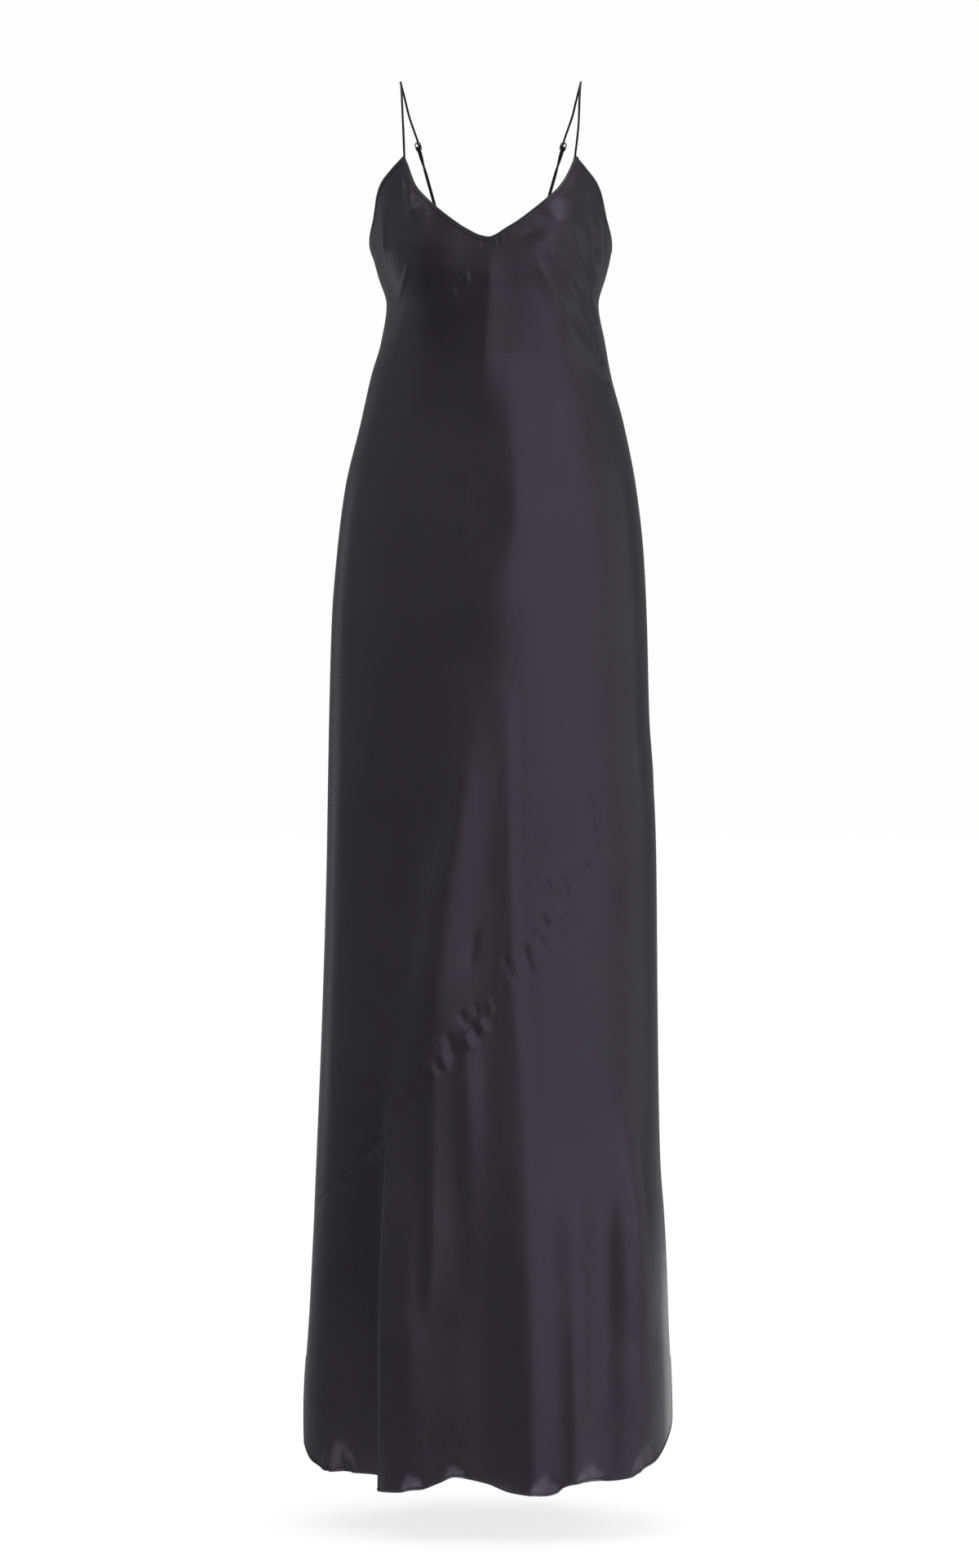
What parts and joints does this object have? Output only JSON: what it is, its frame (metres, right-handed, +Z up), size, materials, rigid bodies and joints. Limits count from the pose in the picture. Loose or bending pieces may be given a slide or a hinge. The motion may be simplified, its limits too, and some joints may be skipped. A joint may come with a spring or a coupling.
{
  "type": "slip dress",
  "caption": "Floor-length slip dress of dark satin in its hollow worn form: V neck, thin adjustable straps, diagonal skirt seam, side slits and a rounded shirt-tail hem.",
  "frame": {"origin": "midway between the tops of the shoulder straps, on the line where the wearer's shoulders hold them", "axes": "+Z up, the front faces -Y, +X is on the right as the front is seen"},
  "size_m": [0.4038, 0.2855, 1.5305],
  "materials": {
    "satin": "near-black heavy satin with a soft sheen",
    "dark_metal": "dark gloss coat on small metal sliders and rings"
  },
  "bodies": {
    "root": {"front_upper": "satin", "front_lower": "satin", "back": "satin", "strap_left": "satin", "strap_right": "satin", "tab_left": "satin", "tab_right": "satin", "slider_left": "dark_metal", "slider_right": "dark_metal", "ring_left": "dark_metal", "ring_right": "dark_metal"}
  },
  "joints": []
}
